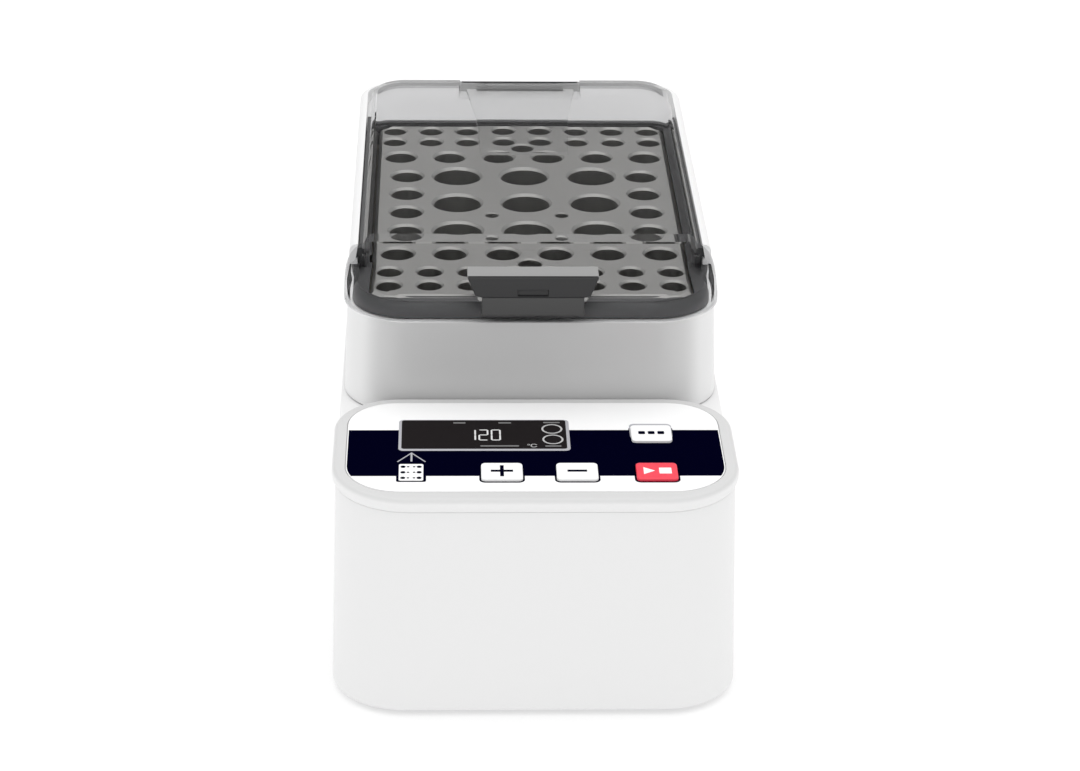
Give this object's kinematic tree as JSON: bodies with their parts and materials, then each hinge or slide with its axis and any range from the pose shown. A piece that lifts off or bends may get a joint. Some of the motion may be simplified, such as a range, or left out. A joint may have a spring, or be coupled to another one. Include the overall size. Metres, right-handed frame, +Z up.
{
  "type": "dry block heater",
  "caption": "Bench-top digital dry block heater with a drilled aluminium tube block, a smoky hinged lid and a low keypad deck in front.",
  "frame": {"origin": "middle of the footprint on the bench, directly under the centre of the bounding box", "axes": "+X to the user's right, +Y to the back (the control deck faces -Y), +Z up"},
  "size_m": [0.13, 0.28, 0.12],
  "materials": {
    "housing_white": "fine moulded satin",
    "label_white": "printed polyester film",
    "display_black": "polished dark window",
    "key_white": "printed satin key",
    "key_red": "printed satin key",
    "block_aluminium": "machined, fine matt anodised",
    "frame_black": "moulded",
    "lid_smoke": "clear smoke-tinted plastic, polished",
    "grip_black": "moulded",
    "steel": "plain",
    "base_grey": "powder coat",
    "rubber_black": "matt",
    "insulation": "bonded fibre board",
    "silicone_red": "silicone",
    "board_green": "solder mask",
    "core_grey": "potted",
    "brass": "plated"
  },
  "bodies": {
    "housing": {"base_housing": "housing_white", "base_plate": "base_grey", "base_screw_front_left": "steel", "base_screw_front_right": "steel", "base_screw_rear_left": "steel", "base_screw_rear_right": "steel", "control_bezel": "housing_white", "control_board": "board_green", "display_module": "core_grey", "display_window": "display_black", "foot_front_left": "rubber_black", "foot_front_right": "rubber_black", "foot_rear_left": "rubber_black", "foot_rear_right": "rubber_black", "fuse_drawer": "frame_black", "heater_mat": "silicone_red", "heater_plate": "block_aluminium", "hinge_base": "lid_smoke", "hinge_pin": "steel", "inlet_module": "grip_black", "inlet_pin_earth": "brass", "inlet_pin_live": "brass", "inlet_pin_neutral": "brass", "insulation_jacket": "insulation", "label_film": "label_white", "power_board": "board_green", "side_insert_left": "frame_black", "side_insert_right": "frame_black", "support_bracket_front": "steel", "support_bracket_rear": "steel", "temperature_sensor": "steel", "thermal_cutout": "steel", "transformer": "core_grey", "tube_block": "block_aluminium", "upper_cover": "housing_white", "well_frame": "frame_black"},
    "lid_assembly": {"lid": "lid_smoke", "lid_grip": "grip_black", "lid_rib": "lid_smoke", "lid_hinge_leaf": "lid_smoke"},
    "key_plus": {"key_plus": "key_white"},
    "key_minus": {"key_minus": "key_white"},
    "key_mode": {"key_mode": "key_white"},
    "key_start": {"key_start": "key_red"},
    "rocker": {"power_rocker": "grip_black"}
  },
  "joints": [
    {"name": "lid_hinge", "type": "hinge", "parent": "housing", "child": "lid_assembly", "pos_m": [0, 0.132, 0.1179], "axis": [-1, 0, 0], "range_deg": [0, 95]},
    {"name": "key_plus_press", "type": "slide", "parent": "housing", "child": "key_plus", "axis": [0, 0.0187, -0.9998], "range_m": [0, 0.0006], "stiffness_N_per_m": 500},
    {"name": "key_minus_press", "type": "slide", "parent": "housing", "child": "key_minus", "axis": [0, 0.0187, -0.9998], "range_m": [0, 0.0006], "stiffness_N_per_m": 500},
    {"name": "key_mode_press", "type": "slide", "parent": "housing", "child": "key_mode", "axis": [0, 0.0187, -0.9998], "range_m": [0, 0.0006], "stiffness_N_per_m": 500},
    {"name": "key_start_press", "type": "slide", "parent": "housing", "child": "key_start", "axis": [0, 0.0187, -0.9998], "range_m": [0, 0.0006], "stiffness_N_per_m": 500},
    {"name": "power_switch", "type": "hinge", "parent": "housing", "child": "rocker", "pos_m": [0.0355, 0.1335, 0.03], "axis": [1, 0, 0], "range_deg": [0, 8]}
  ]
}
